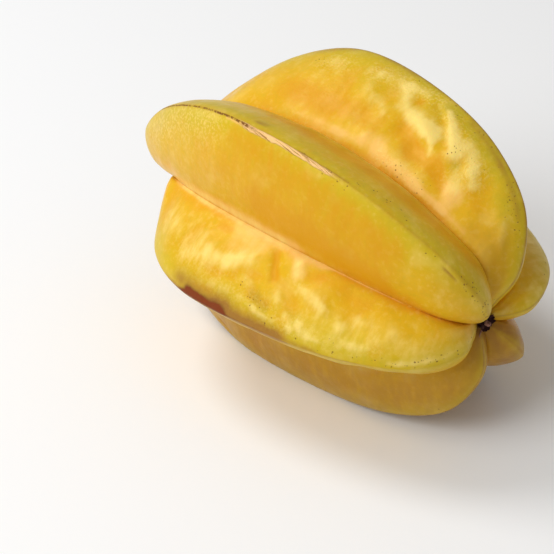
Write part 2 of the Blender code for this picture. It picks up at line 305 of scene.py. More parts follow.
        # Painted shade under rib C's crest, along the bruised edge
        "C-": ((-26, 0.92, 10, 0.96, 3.6, 0.95), (10, 0.97, 30, 0.98, 2.0, 0.50)),
        "C": ((-24, 1.00, 10, 1.00, 1.8, 0.80),),
    },
    # Freckles, as the share of small cells that hold one
    "freckle": {
        "A-": (
            (46.5, 0.96, 49, 0.84, 1.7, 1.00), (37, 0.80, 40, 0.88, 2.0, 0.25),
            (10, 0.93, 18, 0.92, 1.2, 0.60),
        ),
        "A+": ((46, 0.96, 48, 0.92, 1.5, 0.90), (18, 0.80, 30, 0.78, 2.0, 0.25)),
        "A": ((13, 0.98, 16, 0.98, 1.3, 0.70), (3, 0.98, 6, 0.97, 0.8, 0.90)),
        "B-": (
            (11, 0.13, 19, 0.20, 1.8, 0.40), (19.5, 0.13, 19.6, 0.13, 0.5, 1.00),
            (20, 0.60, 21, 0.58, 1.2, 0.70), (26, 0.60, 28, 0.56, 1.6, 0.30),
            (35.5, 0.80, 39, 0.76, 1.6, 0.70), (39, 0.75, 43, 0.74, 1.6, 0.55),
            (12, 0.86, 34, 0.86, 2.0, 0.25), (0, 0.86, 2, 0.86, 1.0, 0.60),
            (-29, 0.68, -26, 0.67, 1.6, 0.35),
        ),
        "C+": (
            (-3, 0.55, -2, 0.56, 0.7, 0.50), (0, 0.62, 4, 0.68, 1.5, 0.30),
            (42, 0.87, 46.5, 0.82, 1.7, 0.90), (31, 0.87, 42, 0.88, 1.4, 0.45),
            (4, 0.82, 30, 0.88, 2.0, 0.12),
        ),
        "C-": ((-30, 0.80, 0, 0.80, 4.0, 0.16),),
        "D": ((-30, 0.92, 40, 0.92, 2.6, 0.16),),
        "E": ((-30, 0.92, 45, 0.90, 2.6, 0.18),),
        "F": ((-35, 0.92, 40, 0.92, 2.6, 0.16),),
    },
    # Where the skin is finely stippled
    "stipple": {
        "A-": ((-50, 0.70, -26, 0.82, 6.0, 1.00),),
        "B-": (
            (-24, 0.66, -20, 0.68, 3.0, 0.80), (-10, 0.70, 8, 0.80, 3.0, 0.90),
            (14, 0.72, 28, 0.60, 3.0, 0.70), (24, 0.40, 29, 0.50, 3.0, 0.50),
            (6, 0.16, 18, 0.18, 2.6, 0.50),
        ),
        "C+": ((-24, 0.56, 14, 0.72, 4.0, 0.40), (14, 0.76, 34, 0.76, 2.6, 0.35)),
        "E": ((-30, 0.70, 10, 0.70, 5.0, 0.60),),
        "F": ((-20, 0.70, 25, 0.70, 5.0, 0.50),),
    },
    # The thin dry line along a crest
    "dry_line": {
        "A": ((-47, 0.97, -14, 0.95, 2.6, 1.05),),
        "E": ((-25, 1.00, 4, 1.00, 3.0, 0.80),),
        "D": ((-34, 1.00, -14, 1.00, 3.0, 0.80),),
    },
    # The scuffed, raised strip on a crest
    "scuff": {
        "A": ((-13, 0.94, 1, 0.96, 2.6, 1.15), (4.5, 0.96, 10, 0.95, 2.2, 1.05)),
        "F": ((-16, 1.00, -4, 1.00, 3.0, 0.80),),
    },
    # The red-brown bruise on a crest
    "bruise": {
        "C": ((-19, 1.00, -6, 1.00, 2.0, 0.90), (-6, 1.00, 6, 1.00, 1.2, 0.45)),
        "C+": ((-16.5, 0.90, -7, 0.91, 2.2, 0.95),),
        "C-": ((-20, 0.95, -5, 0.97, 3.0, 0.40),),
    },
}
# How many widths away a stroke is still felt, and how fast dents fade in from a groove and out to a crest
STROKE_FADE = 2.3
DENT_GROOVE_FADE = 4
DENT_CREST_FADE = 6
# How brown the very crest of each rib is, in the order of the ribs
EDGE_TONES = (0.35, 0.85, 0.60, 0.70, 0.80, 0.15)
# The marked line on rib A: millimetres along the axis, and millimetres past the crest towards rib B
FRONT_LINE = ((-60, 0.0), (-30, -0.4), (-20, -0.9), (-11, -1.9), (0, -1.1), (10, -0.9), (60, -0.9))
# Painted shade round the stem socket and a brown stain round the far scar: how brown, how wide, and in
# which shares of the length
END_SHADE_AND_STAIN = 0.7
STEM_SHADE = 0.0046
STEM_PART = 0.2
FAR_STAIN = 0.0035
FAR_PART = 0.8
# Flanks that the photo hides or hardly shows get bulges and hollows by chance, with painted highlight on
# the bulges and painted shade in the hollows
PLAIN_FLANKS = ("B+", "E-", "E+", "F-", "F+", "D-", "D+", "C-")
PLAIN_SEED = 7
PLAIN_STROKES = 9
PLAIN_X = (-38, 36)
PLAIN_PLACE = (0.25, 0.70)
PLAIN_RUN = (-2, 6)
PLAIN_RISE = (-0.14, 0.14)
PLAIN_WIDTH = (1.5, 3.2)
PLAIN_HEIGHTS = (-0.6, -0.4, 0.3, 0.4, 0.5)
PLAIN_LIGHT_AND_SHADE_WIDTH = 0.8
PLAIN_LIGHT_AND_SHADE_AMOUNT = 1.1
# What the skin's material reads at each point of the skin
READS = ("place", "seam", "edge", "relief", *(kind for kind in STROKES if kind != "dent"))

# Soft clouds of the materials: repeats per metre, detail and contrast
MOTTLES = {
    "drift": (55.0, 2.0, 1.6),
    "patches": (140.0, 4.0, 2.0),
    "grain": (700.0, 3.0, 2.5),
    "stroke_edges": (560.0, 5.0, 2.0),
    "speckle": (1500.0, 2.0, 4.0),
    "waves": (420.0, 4.0, 3.0),
    "bend": (500.0, 3.0, 1.0),
    "scuff_streaks": (2200.0, 2.0, 3.0),
    "gloss": (300.0, 3.0, 1.5),
    "pores": (1600.0, 2.0, 1.0),
    "dry_streaks": (900.0, 4.0, 2.5),
    "floor_tone": (6.0, 2.0, 0.6),
}
# Where the ground colours change from groove to crest, and how far that wanders
GROOVE_TO_FLANK = (0.0, 0.22)
FLANK_TO_CREST = (0.42, 0.90)
GROUND_WANDER = 0.30
# Layers over the ground: what each follows, where it starts and is full, its most and its colour
GROUND_LAYERS = (
    ("patches", 0.55, 0.95, 0.22, "cream"),
    ("patches", 0.45, 0.05, 0.28, "amber"),
    ("grain", 0.55, 0.95, 0.14, "cream"),
    ("grain", 0.45, 0.05, 0.14, "olive"),
    # Following the relief: painted highlight on the bulges, painted shade in the hollows
    ("relief", 0.1, 0.9, 0.30, "cream"),
    ("relief", -0.1, -0.9, 0.45, "amber"),
)
# Strokes of colour: the kind, how ragged its edges are, and its most
STROKE_LAYERS = (("amber", 0.4, 0.80), ("olive", 0.5, 0.60), ("peach", 0.3, 0.85), ("cream", 0.6, 0.85))
STROKE_STRETCH = (1.0, 0.40, 0.40)
STROKE_RAGGED_RUN = (0.0, 0.25)
STROKE_RUN = (0.05, 1.0)
BROWN_CLOUD = (0.1, 0.7, 0.8, 1.0)
EDGE_RUN = (0.87, 1.0)
EDGE_CLOUD = (0.2, 0.7, 0.6, 1.0)
STIPPLE_RUN = (0.45, 0.95)
STIPPLE_MOST = 0.4
BRUISE_RAGGED = 0.30
BRUISE_RUN = (0.30, 0.95)
BRUISE_RED_RUN = (0.65, 1.05)
# Lines marked along crests: how far they stray, how wide scuffs and dry lines are, and where they break
LINE_BEND = 0.0014
SCUFF_EDGE = (0.0020, 0.0012)
SCUFF_GAIN = 1.4
SCUFF_STREAK_LENGTH = 0.35
SCUFF_STREAK_RUN = (0.1, 0.5)
DRY_LINE_EDGE = (0.0013, 0.0005)
DRY_LINE_BREAKS = (0.15, 0.60, 0.25, 1.0)
FRECKLE_SCALE = 1700.0
FRECKLE_SIZE = 0.42
FRECKLE_MOST = 0.75
FLECK_RUFFLE_SCALE = 2600.0
FLECK_RUFFLE = 0.0004
FLECK_EDGE = (-0.06, 0.12)
# The finish of each surface
SKIN_SHADER = {
    "IOR": 1.37,
    "Specular Tint": (1.0, 0.82, 0.25, 1.0),
    "Subsurface Weight": 0.10,
    "Subsurface Radius": (1.0, 0.5, 0.08),
    "Subsurface Scale": 0.003,
}
SKIN_ROUGHNESS = (0.28, 0.46)
WORN_ROUGHNESS = 0.25
SKIN_BUMP = 0.00006
FINE_RELIEF = {"pores": 0.5, "stipple": 0.8, "scuff": 3.0, "freckle": -0.8, "dry_line": -1.5, "waves": 0.7}
STALK_ROUGHNESS = (0.80, 0.98)
STALK_IOR = 1.15
STALK_BUMP = 0.00015
TORN_STREAKS = (0.2, 0.6, 0.4, 1.0)
PALE_STREAKS = (0.75, 1.0, 0.0, 0.30)
FLOOR_SHADE = 0.985
FLOOR_ROUGHNESS = 0.9


def fade_in(value, run):
    """0 where the run starts, and smoothly up to 1 where it is full."""
    start, full = run
    share = min(max((value - start) / (full - start), 0.0), 1.0)
    return share * share * (3 - 2 * share)


def smooth_line(points, count):
    """count places along a smooth curve through the points, closer together where it turns."""
    points = [Vector(point) for point in points]
    knots = [0.0]
    for start, end in zip(points, points[1:]):
        knots.append(knots[-1] + sqrt((end - start).length))
    points = [2 * points[0] - points[1], *points, 2 * points[-1] - points[-2]]
    knots = [-knots[1], *knots, 2 * knots[-1] - knots[-2]]
    slopes = [None]
    for i in range(1, len(points) - 1):
        before = (points[i] - points[i - 1]) / (knots[i] - knots[i - 1])
        after = (points[i + 1] - points[i]) / (knots[i + 1] - knots[i])
        across = (points[i + 1] - points[i - 1]) / (knots[i + 1] - knots[i - 1])
        slopes.append(before + after - across)
    line = []
    start = 1
    for step in range(count):
        place = knots[-2] * step / (count - 1)
        while start < len(slopes) - 2 and place > knots[start + 1]:
            start += 1
        width = knots[start + 1] - knots[start]
        s = (place - knots[start]) / width
        from_start = (1 + 2 * s) * points[start] + s * width * slopes[start]
        from_end = (3 - 2 * s) * points[start + 1] - (1 - s) * width * slopes[start + 1]
        line.append((1 - s) ** 2 * from_start + s**2 * from_end)
    return line


def rib_angle(rib, along):
    """The angle of a rib's middle plane at a place along the fruit: 0 at the stem, 1 at the far end."""
    from_middle = 2 * along - 1
    bent = rib.twist * from_middle / 2 + rib.bow * (from_middle**2 - BOW_LEVEL)
    return radians(rib.angle + bent + rib.hook * fade_in(along, HOOK_RUN))


def rib_reach(rib, along):
    """A rib's reach at a place along the fruit, as a share of the usual one."""
    weights = [exp(-(((along - place) / REACH_SPREAD) ** 2)) for place in REACH_PLACES]
    return sum(weight * share for weight, share in zip(weights, rib.reach)) / sum(weights)


def crest_shift(rib, along):
    """How far a crest stands along the axis from the usual rib's."""
    near_stem = fade_in(along, SHOULDER_RUN) * min(along / CREST_FADE, 1.0)
    near_tip = fade_in(along, NOSE_RUN) * min((1 - along) / CREST_FADE, 1.0)
    return rib.shoulder * near_stem - rib.nose * near_tip


def flanks_named(name):
    """The rib's number and the side of each flank that a name stands for."""
    rib = RIB_LETTERS.index(name[0])
    sides = {"-": (-1,), "+": (1,)}.get(name[1:], (-1, 1))
    return [(rib, side) for side in sides]


def strokes_by_flank():
    """The strokes of each flank with their kinds, and the chance ones of the plain flanks."""
    found = {(rib, side): [] for rib in range(len(RIBS)) for side in (-1, 1)}
    for kind, by_name in STROKES.items():
        for name, strokes in by_name.items():
            for flank in flanks_named(name):
                found[flank] += [(kind, Stroke(*values)) for values in strokes]
    chance = Random(PLAIN_SEED)
    for name in PLAIN_FLANKS:
        (flank,) = flanks_named(name)
        for _ in range(PLAIN_STROKES):
            x = chance.uniform(*PLAIN_X)
            place = chance.uniform(*PLAIN_PLACE)
            to_x = x + chance.uniform(*PLAIN_RUN)
            to_place = place + chance.uniform(*PLAIN_RISE)
            width = chance.uniform(*PLAIN_WIDTH)
            amount = chance.choice(PLAIN_HEIGHTS)
            dent = Stroke(x, place, to_x, to_place, width, amount)
            # Painted highlight over a bulge, painted shade over a hollow
            painted_light = dent._replace(width=PLAIN_LIGHT_AND_SHADE_WIDTH * width, amount=PLAIN_LIGHT_AND_SHADE_AMOUNT * abs(amount))
            found[flank] += [("dent", dent), ("cream" if amount > 0 else "amber", painted_light)]
    return found


def colour_setting(name, description, colour):
    return bpy.props.FloatVectorProperty(
        name=name,
        description=description,
        default=(*colour, 1.0),
        size=4,
        min=0.0,
        max=1.0,
        subtype="COLOR",
    )


class StarFruitSettings(bpy.types.PropertyGroup):
    """Sizes and colours that a user would change."""

    pleat_depth: bpy.props.FloatProperty(
        name="Pleat depth",
        description="Depth of the pleats that run from crest to groove",
        default=0.0009,
        min=0.0,
        unit="LENGTH",
    )
    dimple_depth: bpy.props.FloatProperty(
        name="Dimple depth",
        description="Depth of the small dimples in the flanks",
        default=0.00014,
        min=0.0,
        unit="LENGTH",
    )
    rib_rounding: bpy.props.FloatProperty(
        name="Rib rounding",
        description="1 is a plain wedge, 2 a round lobe",
        default=1.37,
        min=1.0,
        max=2.0,
    )
    groove_colour: colour_setting("Groove", "Orange of the skin in the grooves", (0.74, 0.33, 0.014))
    flank_colour: colour_setting("Flank", "Golden yellow of the flanks", (0.74, 0.425, 0.012))
    crest_colour: colour_setting("Crest", "Greener yellow near the crests", (0.64, 0.445, 0.018))
    # Cream: the colour of the painted highlights, and of the stipple and the pale patches
    cream_colour: colour_setting("Cream", "Cream of the bulges and the stipple", (0.93, 0.70, 0.20))
    # Peach: the colour of the painted highlights beside the grooves
    peach_colour: colour_setting("Peach", "Peach of the skin beside the grooves", (0.92, 0.55, 0.15))
    # Amber: the colour of the painted shade in the hollows and creases, and of deeper amber patches
    amber_colour: colour_setting("Amber", "Amber of the hollows", (0.72, 0.32, 0.008))
    olive_colour: colour_setting("Olive", "Olive of the unripe parts near the crests", (0.47, 0.37, 0.020))
    # Brown: the colour of the painted shade on the under ribs, and of the stem end, the bruised edge, the
    # crest edges and the scuffs
    brown_colour: colour_setting("Brown", "Brown of the shaded ribs and the stem end", (0.36, 0.168, 0.028))
    freckle_colour: colour_setting("Freckles", "Brown of the freckles and dry lines", (0.20, 0.075, 0.016))
    scuff_colour: colour_setting("Scuff", "Peach of the scuffed crest", (0.90, 0.56, 0.24))
    bruise_colour: colour_setting("Bruise", "Red-brown of the bruise", (0.21, 0.036, 0.010))
    stalk_colour: colour_setting("Stalk", "Dark brown of the dried stalk", (0.018, 0.004, 0.004))
    torn_colour: colour_setting("Torn end", "Grey-pink of the stalk's torn end", (0.34, 0.17, 0.12))
    floor_colour: colour_setting("Floor", "Pale floor", (0.95, 0.95, 0.95))
    key_power: bpy.props.FloatProperty(
        name="Key light",
        description="Power of the softbox above and to the left",
        default=2.5,
        min=0.0,
        unit="POWER",
    )
    fill_power: bpy.props.FloatProperty(
        name="Fill light",
        description="Power of the softbox in front",
        default=4.4,
        min=0.0,
        unit="POWER",
    )
    room_light: bpy.props.FloatProperty(
        name="Room light",
        description="Brightness of the white room",
        default=0.38,
        min=0.0,
    )


# Node helpers
def add_node(tree, kind, values=None, **settings):
    made = tree.nodes.new(kind)
    for name, value in settings.items():
        setattr(made, name, value)
    for name, value in (values or {}).items():
        if isinstance(value, bpy.types.NodeSocket):
            tree.links.new(value, made.inputs[name])
        else:
            made.inputs[name].default_value = value
    return made


def math_node(tree, operation, first, second=0.0, clamp=False):
    values = {0: first, 1: second}
    return add_node(tree, "ShaderNodeMath", values, operation=operation, use_clamp=clamp).outputs[0]


def times(tree, first, second, clamp=False):
    return math_node(tree, "MULTIPLY", first, second, clamp)


def plus(tree, first, second, clamp=False):
    return math_node(tree, "ADD", first, second, clamp)


def from_half(tree, value):
    return math_node(tree, "SUBTRACT", value, 0.5)


def vector_node(tree, operation, first, second):
    return add_node(tree, "ShaderNodeVectorMath", {0: first, 1: second}, operation=operation).outputs[0]


def mix_colours(tree, factor, first, second):
    values = {0: factor, 6: first, 7: second}
    return add_node(tree, "ShaderNodeMix", values, data_type="RGBA").outputs[2]


def map_range(tree, value, low, high, to_low=0.0, to_high=1.0):
    values = {0: value, 1: low, 2: high, 3: to_low, 4: to_high}
    return add_node(tree, "ShaderNodeMapRange", values, interpolation_type="SMOOTHSTEP").outputs[0]


def attribute(tree, name):
    return add_node(tree, "ShaderNodeAttribute", attribute_name=name).outputs["Fac"]


def object_place(tree):
    return add_node(tree, "ShaderNodeTexCoord").outputs["Object"]


def colour_of(settings, name):
    return getattr(settings, f"{name}_colour")[:]


def start_material(name):
    material = bpy.data.materials.new(name)
    material.use_nodes = True
    tree = material.node_tree
    return material, tree, tree.nodes["Principled BSDF"]


def link_bump(tree, shader, height, distance):
    bump = add_node(tree, "ShaderNodeBump", {"Height": height, "Strength": 1.0, "Distance": distance})
    tree.links.new(bump.outputs[0], shader.inputs["Normal"])


def start_group(name, inputs, output):
    """A node group with a Vector and some floats in, and one float out."""
    group = bpy.data.node_groups.new(name, "ShaderNodeTree")
    group.interface.new_socket("Vector", in_out="INPUT", socket_type="NodeSocketVector")
    for socket, default in inputs.items():
        made = group.interface.new_socket(socket, in_out="INPUT", socket_type="NodeSocketFloat")
        made.default_value = default
    group.interface.new_socket(output, in_out="OUTPUT", socket_type="NodeSocketFloat")
    return group, group.nodes.new("NodeGroupInput"), group.nodes.new("NodeGroupOutput")


def fleck_group():
    """Small ragged flecks in some of the cells of a random pattern."""
    group, given, result = start_group("Flecks", {"Scale": 1000.0, "Share": 0.3, "Size": 0.3}, "Mask")
    values = {"Vector": given.outputs[0], "Scale": FLECK_RUFFLE_SCALE, "Detail": 1.0}
    ruffle = add_node(group, "ShaderNodeTexNoise", values)
    shift = vector_node(group, "MULTIPLY", ruffle.outputs["Color"], (FLECK_RUFFLE,) * 3)
    moved = vector_node(group, "ADD", given.outputs[0], shift)
    cells = add_node(group, "ShaderNodeTexVoronoi", {"Vector": moved, "Scale": given.outputs["Scale"]})
    split = add_node(group, "ShaderNodeSeparateColor", {0: cells.outputs["Color"]})
    held = math_node(group, "LESS_THAN", split.outputs[0], given.outputs["Share"])
    size = times(group, given.outputs["Size"], split.outputs[1])
    edge = math_node(group, "SUBTRACT", size, cells.outputs["Distance"])
    dot = map_range(group, edge, *FLECK_EDGE)
    group.links.new(times(group, held, dot), result.inputs[0])
    return group


def mottle_group():
    """Soft cloudy variation from 0 to 1 about a middle of a half."""
    group, given, result = start_group("Mottle", {"Scale": 100.0, "Detail": 3.0, "Contrast": 1.0}, "Value")
    vector, scale, detail, contrast = given.outputs[:4]
    cloud = add_node(group, "ShaderNodeTexNoise", {"Vector": vector, "Scale": scale, "Detail": detail})
    spread = times(group, from_half(group, cloud.outputs[0]), contrast)
    group.links.new(plus(group, spread, 0.5, clamp=True), result.inputs[0])
    return group


def effect(tree, name, vector, **values):
    """One use of a shared node group, which is built the first time."""
    makers = {"Flecks": fleck_group, "Mottle": mottle_group}
    group = bpy.data.node_groups.get(name) or makers[name]()
    return add_node(tree, "ShaderNodeGroup", {"Vector": vector, **values}, node_tree=group).outputs[0]


def mottle(tree, vector, name):
    scale, detail, contrast = MOTTLES[name]
    return effect(tree, "Mottle", vector, Scale=scale, Detail=detail, Contrast=contrast)


def ground_colour(tree, settings, place):
    """The ground colours of the skin, from the grooves to the crests, with its soft patches, painted
    highlight on the bulges and painted shade in the hollows.
    """
    wander = times(tree, from_half(tree, mottle(tree, place, "drift")), GROUND_WANDER)
    level = plus(tree, attribute(tree, "place"), wander)
    colour = colour_of(settings, "groove")
    for run, name in ((GROOVE_TO_FLANK, "flank"), (FLANK_TO_CREST, "crest")):
        colour = mix_colours(tree, map_range(tree, level, *run), colour, colour_of(settings, name))
    followed = {
        "patches": mottle(tree, place, "patches"),
        "grain": mottle(tree, place, "grain"),
        "relief": attribute(tree, "relief"),
    }
    for name, start, full, most, layer in GROUND_LAYERS:
        amount = map_range(tree, followed[name], start, full, 0.0, most)
        colour = mix_colours(tree, amount, colour, colour_of(settings, layer))
    return colour


def stroked_colour(tree, settings, place, colour):
    """The strokes of colour over the ground, painted highlight and painted shade among them, their edges
    broken by soft mottling.
    """
    cloud = mottle(tree, vector_node(tree, "MULTIPLY", place, STROKE_STRETCH), "stroke_edges")
    ruffle = from_half(tree, cloud)
    # Amber paints shade in the hollows and creases; peach and cream paint highlights
    for kind, ragged, most in STROKE_LAYERS:
        strength = attribute(tree, kind)
        felt = map_range(tree, strength, *STROKE_RAGGED_RUN, 0.0, ragged)
        amount = plus(tree, strength, times(tree, ruffle, felt))
        amount = map_range(tree, amount, *STROKE_RUN, 0.0, most)
        colour = mix_colours(tree, amount, colour, colour_of(settings, kind))
    # Brown: painted shade on the shaded ribs, with the brown of the stem end and the bruised edge
    brown = times(tree, attribute(tree, "brown"), map_range(tree, cloud, *BROWN_CLOUD), clamp=True)
    colour = mix_colours(tree, brown, colour, colour_of(settings, "brown"))
    at_crest = map_range(tree, attribute(tree, "place"), *EDGE_RUN)
    edge = times(tree, at_crest, attribute(tree, "edge"))
    edge = times(tree, edge, map_range(tree, cloud, *EDGE_CLOUD))
    return mix_colours(tree, edge, colour, colour_of(settings, "brown"))


def skin_material(settings):
    material, tree, shader = start_material("waxy_skin")
    place = object_place(tree)
    colour = stroked_colour(tree, settings, place, ground_colour(tree, settings, place))

    # Pale stippling, like fine worm tracks
    speckle = mottle(tree, place, "speckle")
    stippled = times(tree, attribute(tree, "stipple"), map_range(tree, speckle, *STIPPLE_RUN))
    amount = times(tree, stippled, STIPPLE_MOST, clamp=True)
    colour = mix_colours(tree, amount, colour, colour_of(settings, "cream"))

    # The bruise, with its ragged edge and a darker brown round its red
    waves = mottle(tree, place, "waves")
    strength = plus(tree, attribute(tree, "bruise"), times(tree, waves, BRUISE_RAGGED))
    redness = map_range(tree, strength, *BRUISE_RED_RUN)
    bruised = mix_colours(tree, redness, colour_of(settings, "freckle"), colour_of(settings, "bruise"))
    bruise = map_range(tree, strength, *BRUISE_RUN)
    colour = mix_colours(tree, bruise, colour, bruised)

    # The lines marked along crests: scuffed pale in parts, dry and dark in others
    bend = times(tree, from_half(tree, mottle(tree, place, "bend")), LINE_BEND)
    seam = plus(tree, attribute(tree, "seam"), bend)
    apart = math_node(tree, "ABSOLUTE", seam)
    across = add_node(tree, "ShaderNodeCombineXYZ", {0: seam}).outputs[0]
    drawn_out = vector_node(tree, "MULTIPLY", place, (SCUFF_STREAK_LENGTH,) * 3)
    streaks = mottle(tree, vector_node(tree, "ADD", drawn_out, across), "scuff_streaks")
    scuff = times(tree, attribute(tree, "scuff"), map_range(tree, apart, *SCUFF_EDGE))
    scuff = times(tree, scuff, SCUFF_GAIN, clamp=True)
    paleness = map_range(tree, streaks, *SCUFF_STREAK_RUN)
    scuffed = mix_colours(tree, paleness, colour_of(settings, "brown"), colour_of(settings, "scuff"))
    colour = mix_colours(tree, scuff, colour, scuffed)
    line = times(tree, attribute(tree, "dry_line"), map_range(tree, apart, *DRY_LINE_EDGE))
    line = times(tree, line, map_range(tree, speckle, *DRY_LINE_BREAKS))
    colour = mix_colours(tree, line, colour, colour_of(settings, "freckle"))

    share = attribute(tree, "freckle")
    freckle = effect(tree, "Flecks", place, Scale=FRECKLE_SCALE, Share=share, Size=FRECKLE_SIZE)
    amount = times(tree, freckle, FRECKLE_MOST)
    colour = mix_colours(tree, amount, colour, colour_of(settings, "freckle"))
    tree.links.new(colour, shader.inputs["Base Color"])

    # Waxy gloss, duller where it is scuffed, bruised, dry or freckled
    broad = math_node(tree, "MAXIMUM", scuff, bruise)
    small = math_node(tree, "MAXIMUM", line, freckle)
    worn = times(tree, math_node(tree, "MAXIMUM", broad, small), WORN_ROUGHNESS)
    rough = map_range(tree, mottle(tree, place, "gloss"), 0.0, 1.0, *SKIN_ROUGHNESS)
    tree.links.new(plus(tree, rough, worn), shader.inputs["Roughness"])
    for name, value in SKIN_SHADER.items():
        shader.inputs[name].default_value = value

    # Fine relief: pores over the whole skin, the stipple, the raised scuff, the sunken marks and soft waves
    fine = times(tree, mottle(tree, place, "pores"), FINE_RELIEF["pores"])
    marks = {"stipple": stippled, "scuff": scuff, "freckle": freckle, "dry_line": line, "waves": waves}
    for name, mark in marks.items():
        fine = plus(tree, fine, times(tree, mark, FINE_RELIEF[name]))
    link_bump(tree, shader, fine, SKIN_BUMP)
    return material


def stalk_material(settings):
    material, tree, shader = start_material("dried_stalk")
    streaks = mottle(tree, object_place(tree), "dry_streaks")
    torn = times(tree, attribute(tree, "torn"), map_range(tree, streaks, *TORN_STREAKS))
    torn = plus(tree, torn, map_range(tree, streaks, *PALE_STREAKS), clamp=True)
    colour = mix_colours(tree, torn, colour_of(settings, "stalk"), colour_of(settings, "torn"))
    tree.links.new(colour, shader.inputs["Base Color"])
    rough = map_range(tree, streaks, 0.0, 1.0, *STALK_ROUGHNESS)
    tree.links.new(rough, shader.inputs["Roughness"])
    shader.inputs["IOR"].default_value = STALK_IOR
    link_bump(tree, shader, streaks, STALK_BUMP)
    return material


def floor_material(settings):
    material, tree, shader = start_material("pale_floor")
    tone = mottle(tree, object_place(tree), "floor_tone")
    darker = (*(FLOOR_SHADE * part for part in settings.floor_colour[:3]), 1.0)
    colour = mix_colours(tree, tone, darker, colour_of(settings, "floor"))
    tree.links.new(colour, shader.inputs["Base Color"])
    shader.inputs["Roughness"].default_value = FLOOR_ROUGHNESS
    return material


# The skin's form
def stroke_strength(stroke, x, place):
    """How strongly a stroke is felt at a point of its flank, with x in millimetres."""
    width_mm = FLANK_WIDTH / MM
    from_x = x - stroke.x
    from_place = (place - stroke.place) * width_mm
    run = stroke.to_x - stroke.x
    rise = (stroke.to_place - stroke.place) * width_mm
    share = min(max((from_x * run + from_place * rise) / (run**2 + rise**2), 0.0), 1.0)
    apart = hypot(from_x - share * run, from_place - share * rise)
    return stroke.amount * exp(-((apart / stroke.width) ** 2))


def end_swell(along, mid_flank):
    """How far a flank stands out by its swelling at the far end."""
    return END_SWELL * mid_flank * fade_in(along, SWELL_RUN) * min((1 - along) / SWELL_FADE, 1.0)


def pleats_and_dimples(settings, rib, seed, x, height, mid_flank):
    """How far a flank stands out by its pleats and its small dimples."""
    pleat_place = Vector((x / PLEAT_PITCH, height * PLEAT_RUN, seed))
    pleats = settings.pleat_depth * mid_flank**PLEAT_SPREAD * noise.noise(pleat_place)
    coarse = noise.noise(Vector((x / DIMPLE_SIZES[0], height * DIMPLE_RUNS[0], seed + FINE_SEED)))
    finest = noise.noise(Vector((x / DIMPLE_SIZES[1], height * DIMPLE_RUNS[1], seed - FINE_SEED)))
    dimples = settings.dimple_depth * mid_flank * (coarse + FINEST_DIMPLES * finest)
    return rib.pleats * (pleats + dimples)


def front_line(x):
    """How far past rib A's crest its marked line runs, in millimetres, at x in millimetres."""
    for (start, start_off), (end, end_off) in zip(FRONT_LINE, FRONT_LINE[1:]):
        if x <= end:
            return start_off + (end_off - start_off) * fade_in(x, (start, end))
    return FRONT_LINE[-1][1]


def skin_point(settings, strokes, crest, groove, along, step):
    """A point of the skin, at a step of the way round the fruit, and what the material reads there."""
    number, step_in_rib = divmod(step, 2 * FLANK_STEPS)
    across = step_in_rib / (2 * FLANK_STEPS)
    side = -1 if across < 0.5 else 1
    rib = RIBS[number]
    beside = RIBS[(number + side) % len(RIBS)]
    section_turn = pi * min(across, 1 - across)
    power = 2 / (settings.rib_rounding + STEM_ROUNDING * fade_in(along, STEM_ROUNDING_RUN))
    height = sin(section_turn) ** power
    width = max(cos(section_turn), 0.0) ** power
    middle = rib_angle(rib, along)
    half_angle = ((rib_angle(beside, along) - middle + pi) % tau - pi) / 2
    groove_reach = groove.y * (rib.groove if side == 1 else beside.groove)
    crest_reach = crest.y * rib_reach(rib, along)
    x = groove.x + (crest.x + crest_shift(rib, along) - groove.x) * height
    out = groove_reach * cos(half_angle)
    out += (crest_reach - out) * height
    sideways = groove_reach * sin(half_angle) * width

    place = 2 * section_turn / pi
    reads = dict.fromkeys((*READS, "dent"), 0.0)
    for kind, stroke in strokes[number, side]:
        far = STROKE_FADE * stroke.width
        if min(stroke.x, stroke.to_x) - far < x / MM < max(stroke.x, stroke.to_x) + far:
            reads[kind] += stroke_strength(stroke, x / MM, place)
    mid_flank = 4 * height * (1 - height)
    relief = pleats_and_dimples(settings, rib, PLEAT_SEED * (2 * number + side), x, height, mid_flank)
    dents = reads["dent"] * MM
    relief += dents * min(DENT_GROOVE_FADE * height, 1.0) * min(DENT_CREST_FADE * (1 - place), 1.0)
    sideways += copysign(1.0, half_angle) * (end_swell(along, mid_flank) + relief)
    y = out * cos(middle) - sideways * sin(middle)
    z = out * sin(middle) + sideways * cos(middle)

    # Painted shade round the stem socket, and the brown stain round the far scar
    from_axis = hypot(y, z)
    stem_shade = exp(-((from_axis / STEM_SHADE) ** 2)) if along < STEM_PART else 0.0
    far_stain = exp(-((from_axis / FAR_STAIN) ** 2)) if along > FAR_PART else 0.0
    reads["brown"] += END_SHADE_AND_STAIN * max(stem_shade, far_stain)
    reads["place"] = place
    marked = front_line(x / MM) * MM if number == RIB_LETTERS.index("A") else 0.0
    reads["seam"] = side * (1 - place) * FLANK_WIDTH - marked
    reads["edge"] = EDGE_TONES[number]
    reads["relief"] = relief / MM
    return Vector((x, y, z)), reads


def face_outwards(bm):
    bmesh.ops.recalc_face_normals(bm, faces=bm.faces)
    if bm.calc_volume(signed=True) < 0:
        bmesh.ops.reverse_faces(bm, faces=bm.faces)


def finish_piece(name, bm, material, node):
    face_outwards(bm)
    mesh = bpy.data.meshes.new(name)
    bm.to_mesh(mesh)
    bm.free()
    mesh.materials.append(material)
    mesh.shade_smooth()
    piece = bpy.data.objects.new(name, mesh)
    bpy.context.scene.collection.objects.link(piece)
    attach(piece, "root")
    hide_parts(node)


